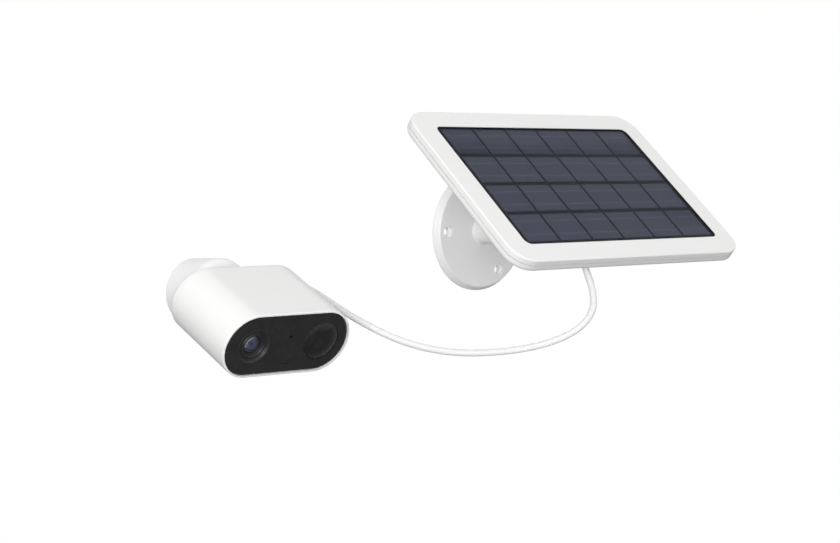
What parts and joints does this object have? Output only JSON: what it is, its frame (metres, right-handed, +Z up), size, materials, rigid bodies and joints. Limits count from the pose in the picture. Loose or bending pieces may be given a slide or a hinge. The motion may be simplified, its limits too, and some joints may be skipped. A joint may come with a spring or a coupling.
{
  "type": "solar-powered security camera",
  "caption": "Wall camera on a ball mount, with a tilting solar panel on a ball arm and the charging cable between them.",
  "frame": {"origin": "centre of the solar panel bracket's wall face, on the wall plane", "axes": "+X along the wall to the right, +Z up, -Y straight out of the wall towards the viewer; the wall is the plane y = 0 and every part is on its -Y side"},
  "size_m": [0.3521, 0.1395, 0.1417],
  "materials": {
    "white_shell": "moulded white plastic, fine satin grain",
    "white_bezel": "moulded white plastic, smoother than the shell",
    "bracket_white": "moulded white plastic bracket",
    "gloss_black": "polished black plastic",
    "inner_black": "moulded black plastic",
    "dark_detector": "dark infrared-passing plastic",
    "clear_glass": "clear low-iron glass",
    "lens_glass": "coated optical glass",
    "light_plastic": "clear plastic light guide",
    "silicon": "textured silicon with a dark blue coating",
    "fibreglass": "black laminated board",
    "green_board": "green solder mask over glass fibre",
    "components": "moulded component bodies",
    "rubber_grey": "dark silicone rubber",
    "liner": "grey acetal",
    "steel": "plated steel",
    "tin": "tinned pressed steel",
    "gold": "plated sheet",
    "cell_wrap": "shrink sleeve over a steel can",
    "cable_white": "matt white cable jacket",
    "plug_white": "overmoulded white plastic"
  },
  "bodies": {
    "wall_parts": {"panel_wall_disc": "bracket_white", "camera_wall_plate": "bracket_white", "charging_cable": "cable_white"},
    "panel_arm": {"panel_ball_arm": "bracket_white", "arm_washer": "steel", "arm_screw": "steel"},
    "panel_liner": {"panel_ball_liner": "liner"},
    "panel": {"panel_socket": "white_shell", "socket_screws": "steel", "panel_bezel": "white_bezel", "panel_glass": "clear_glass", "solar_cells": "silicon", "cell_backing": "fibreglass", "panel_gasket": "rubber_grey", "panel_back_cover": "white_shell", "panel_screws": "steel", "charge_board": "green_board", "charge_parts": "components", "cable_gland": "rubber_grey"},
    "clamp_ring": {"panel_clamp_ring": "white_shell"},
    "camera_base": {"camera_base_drum": "bracket_white", "camera_ball_stud": "bracket_white", "stud_nut": "steel"},
    "camera_liner": {"camera_ball_liner": "liner"},
    "camera": {"camera_housing": "white_shell", "camera_rear_cover": "white_shell", "rear_seal": "rubber_grey", "housing_screws": "steel", "face_plate": "gloss_black", "face_gasket": "rubber_grey", "front_frame": "inner_black", "lens_bezel": "inner_black", "lens_barrel": "inner_black", "lens_elements": "lens_glass", "lens_holder": "inner_black", "sensor_board": "green_board", "image_sensor": "components", "pir_lens": "dark_detector", "pir_board": "green_board", "pir_sensor": "tin", "front_board": "green_board", "microphone": "gold", "status_light_pipe": "light_plastic", "loudspeaker": "components", "main_board": "green_board", "shield_can": "tin", "wifi_aerial": "gold", "battery_cell": "cell_wrap", "battery_cradle": "inner_black", "usb_board": "green_board", "usb_socket": "tin", "button_spring": "steel", "button_switch": "components", "ball_clamp": "inner_black", "clamp_screws": "steel", "plug_shell": "tin", "plug_body": "plug_white"},
    "power_button": {"power_button": "rubber_grey"}
  },
  "joints": [
    {"name": "panel_arm_swivel", "type": "hinge", "parent": "wall_parts", "child": "panel_arm", "pos_m": [0, 0, 0], "axis": [0, 1, 0], "range_deg": [-25, 25], "deforming": ["charging_cable"]},
    {"name": "panel_tilt", "type": "hinge", "parent": "panel_arm", "child": "panel_liner", "pos_m": [0, -0.062, 0], "axis": [1, 0, 0], "range_deg": [-5, 25], "deforming": ["charging_cable"]},
    {"name": "panel_turn", "type": "hinge", "parent": "panel_liner", "child": "panel", "pos_m": [0, -0.062, 0], "axis": [0, -0.6315, 0.7754], "range_deg": [-15, 15], "deforming": ["charging_cable"]},
    {"name": "clamp_ring_turn", "type": "hinge", "parent": "panel", "child": "clamp_ring", "pos_m": [0, -0.062, 0], "axis": [0, -0.6315, 0.7754], "range_deg": [0, 90]},
    {"name": "camera_base_turn", "type": "hinge", "parent": "wall_parts", "child": "camera_base", "pos_m": [-0.216, 0, -0.0292], "axis": [0, 1, 0], "range_deg": [-20, 20], "deforming": ["charging_cable"]},
    {"name": "camera_tilt", "type": "hinge", "parent": "camera_base", "child": "camera_liner", "pos_m": [-0.216, -0.0412, -0.0292], "axis": [1, 0, 0], "range_deg": [-40, 0], "deforming": ["charging_cable"]},
    {"name": "camera_pan", "type": "hinge", "parent": "camera_liner", "child": "camera", "pos_m": [-0.216, -0.0412, -0.0292], "axis": [0, -0.4043, 0.9146], "range_deg": [-10, 10], "deforming": ["charging_cable"]},
    {"name": "power_button_press", "type": "slide", "parent": "camera", "child": "power_button", "axis": [0, -0.9146, -0.4043], "range_m": [0, 0.0006], "stiffness_N_per_m": 600, "springref_m": -0.0006, "deforming": ["button_spring"]}
  ]
}
